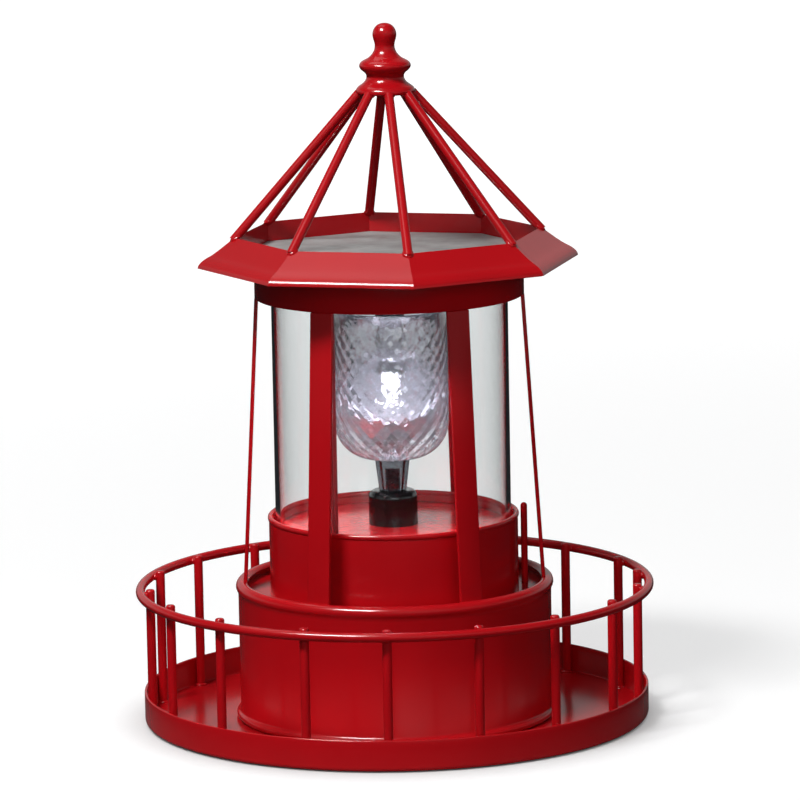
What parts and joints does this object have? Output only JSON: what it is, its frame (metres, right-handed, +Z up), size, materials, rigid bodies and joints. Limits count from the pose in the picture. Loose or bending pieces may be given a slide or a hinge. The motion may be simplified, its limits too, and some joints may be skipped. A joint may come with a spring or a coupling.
{
  "type": "garden lighthouse ornament",
  "caption": "Sheet-metal garden lighthouse with gallery rail, clear lantern tube, turning goblet beacon, wire-caged roof and solar panel.",
  "frame": {"origin": "middle of the feet's ground plane", "axes": "+Z up along the lighthouse's axis, the front of the lighthouse towards -Y"},
  "size_m": [0.1692, 0.169, 0.2279],
  "materials": {
    "red_enamel": "glossy enamel",
    "clear_plastic": "clear",
    "smoke_plastic": "smoke clear",
    "black_gloss": "gloss",
    "black_plastic": "matte",
    "navy_plastic": "gloss",
    "steel": "satin",
    "brass": "satin",
    "rubber": "matte",
    "board_green": "satin",
    "solar_blue": "gloss",
    "led_lens": "clear",
    "battery_wrap": "satin"
  },
  "bodies": {
    "lighthouse": {"base_tray": "red_enamel", "gallery_balusters": "red_enamel", "gallery_rail": "red_enamel", "lower_drum": "red_enamel", "drum_deck": "red_enamel", "upper_drum": "red_enamel", "roof_ring_band": "red_enamel", "roof_plate": "red_enamel", "roof_skirt": "red_enamel", "roof_wires": "red_enamel", "wire_collar": "red_enamel", "finial": "red_enamel", "window_post_1": "red_enamel", "window_post_2": "red_enamel", "window_post_3": "red_enamel", "window_post_4": "red_enamel", "window_post_5": "red_enamel", "window_post_6": "red_enamel", "rubber_feet": "rubber", "lead_grommet": "rubber", "lamp_plate": "red_enamel", "panel_housing": "black_gloss", "solar_cells": "solar_blue", "panel_cover": "clear_plastic", "clear_tube": "clear_plastic", "lamp_hub": "navy_plastic", "lamp_stem": "clear_plastic", "lamp_board": "board_green", "led": "led_lens", "panel_leads": "rubber", "bearing_cap": "black_gloss", "upper_bush": "brass", "lower_bush": "brass", "gear_plate": "steel", "gear_pillars": "brass", "motor": "steel", "bottom_cover": "black_plastic", "cover_seat": "steel", "cover_screws": "steel", "battery_holder": "black_plastic", "battery_cell": "battery_wrap", "battery_contacts": "steel", "circuit_board": "board_green", "board_components": "black_plastic", "switch_body": "black_plastic"},
    "beacon": {"spindle": "steel", "spindle_gear": "black_plastic", "beacon_stem": "smoke_plastic", "goblet": "clear_plastic", "reflector_globe": "clear_plastic"},
    "rotor": {"motor_shaft": "steel", "motor_pinion": "brass"},
    "switch": {"switch_rod": "red_enamel"},
    "door": {"battery_door": "black_plastic"}
  },
  "joints": [
    {"name": "beacon_spin", "type": "hinge", "parent": "lighthouse", "child": "beacon", "pos_m": [0, 0, 0.07], "axis": [0, 0, 1], "continuous": true},
    {"name": "rotor_spin", "type": "hinge", "parent": "lighthouse", "child": "rotor", "pos_m": [0, 0.016, 0.0536], "axis": [0, 0, 1], "continuous": true},
    {"name": "switch_press", "type": "slide", "parent": "lighthouse", "child": "switch", "axis": [0, 0, -1], "range_m": [0, 0.0025], "stiffness_N_per_m": 400, "springref_m": -0.001},
    {"name": "battery_door_hinge", "type": "hinge", "parent": "lighthouse", "child": "door", "pos_m": [0, -0.006, 0.0019], "axis": [-1, 0, 0], "range_deg": [0, 100]}
  ],
  "couplings": [
    {"joint": "rotor_spin", "follows": "beacon_spin", "ratio": -3}
  ]
}
